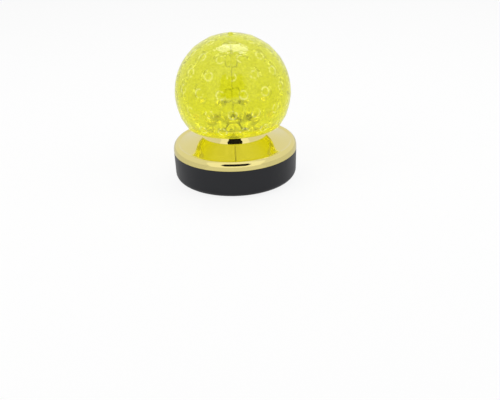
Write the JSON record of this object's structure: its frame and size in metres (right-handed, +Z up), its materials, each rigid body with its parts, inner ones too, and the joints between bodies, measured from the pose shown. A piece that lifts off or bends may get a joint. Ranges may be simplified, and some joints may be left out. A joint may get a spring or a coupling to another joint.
{
  "type": "led disco ball light",
  "caption": "Table disco light: a clear lens-bumped ball, lit from below, turns on a motor over a round base with gold top, black bowl, speaker, sockets and buttons.",
  "frame": {"origin": "on the ground under the middle of the lamp", "axes": "+Z up along the ball's axis, -Y to the lamp's front, +Y to its sockets and buttons"},
  "size_m": [0.1246, 0.1246, 0.1484],
  "materials": {
    "base_black": "satin black moulded plastic",
    "gold_plate": "pale gold vacuum-plated plastic, mirror bright",
    "ball_clear": "clear plastic with lens bumps, lit yellow",
    "panel_black": "satin black plastic",
    "board_green": "green circuit board",
    "board_white": "white circuit board",
    "steel": "plated steel",
    "brass": "turned brass",
    "grey_plastic": "grey moulded plastic",
    "rubber": "soft black rubber",
    "paper_black": "pressed paper cone",
    "ferrite": "ferrite magnet",
    "led_resin": "clear resin",
    "wire_red": "red sleeve",
    "wire_white": "white sleeve",
    "wire_black": "black sleeve"
  },
  "bodies": {
    "base": {"base_housing": "base_black", "top_plate": "gold_plate", "port_panel": "panel_black", "main_board": "board_green", "key_board": "board_green", "usb_socket": "steel", "card_slot": "steel", "power_jack": "panel_black", "key_switch_1": "grey_plastic", "key_switch_2": "grey_plastic", "key_switch_3": "grey_plastic", "switch_body": "grey_plastic", "speaker_frame": "steel", "speaker_cone": "paper_black", "speaker_magnet": "ferrite", "motor_gearbox": "steel", "motor_can": "steel", "motor_screw_1": "steel", "motor_screw_2": "steel", "shaft_bush": "brass", "board_screw_1": "steel", "board_screw_2": "steel", "cover_screw_1": "steel", "cover_screw_2": "steel", "cover_screw_3": "steel", "foot_1": "rubber", "foot_2": "rubber", "foot_3": "rubber", "foot_4": "rubber", "led_board": "board_white", "led_1": "led_resin", "led_2": "led_resin", "led_3": "led_resin", "led_4": "led_resin", "led_5": "led_resin", "led_6": "led_resin", "ir_receiver": "panel_black", "motor_lead": "wire_red", "lamp_lead": "wire_white", "speaker_lead": "wire_black"},
    "ball": {"crystal_ball": "ball_clear", "ball_hub": "led_resin", "cap_screw": "panel_black", "spindle_rod": "steel", "shaft_coupling": "panel_black", "motor_shaft": "steel"},
    "knob": {"switch_knob": "grey_plastic"},
    "next": {"button_next": "grey_plastic"},
    "play": {"button_play": "grey_plastic"},
    "previous": {"button_previous": "grey_plastic"}
  },
  "joints": [
    {"name": "ball_spin", "type": "hinge", "parent": "base", "child": "ball", "pos_m": [0, 0, 0.0892], "axis": [0, 0, 1], "continuous": true},
    {"name": "power_slide", "type": "slide", "parent": "base", "child": "knob", "axis": [1, 0, 0], "range_m": [0, 0.003]},
    {"name": "next_press", "type": "slide", "parent": "base", "child": "next", "axis": [0, -1, 0], "range_m": [0, 0.0006], "stiffness_N_per_m": 800},
    {"name": "play_press", "type": "slide", "parent": "base", "child": "play", "axis": [0, -1, 0], "range_m": [0, 0.0006], "stiffness_N_per_m": 800},
    {"name": "previous_press", "type": "slide", "parent": "base", "child": "previous", "axis": [0, -1, 0], "range_m": [0, 0.0006], "stiffness_N_per_m": 800}
  ]
}
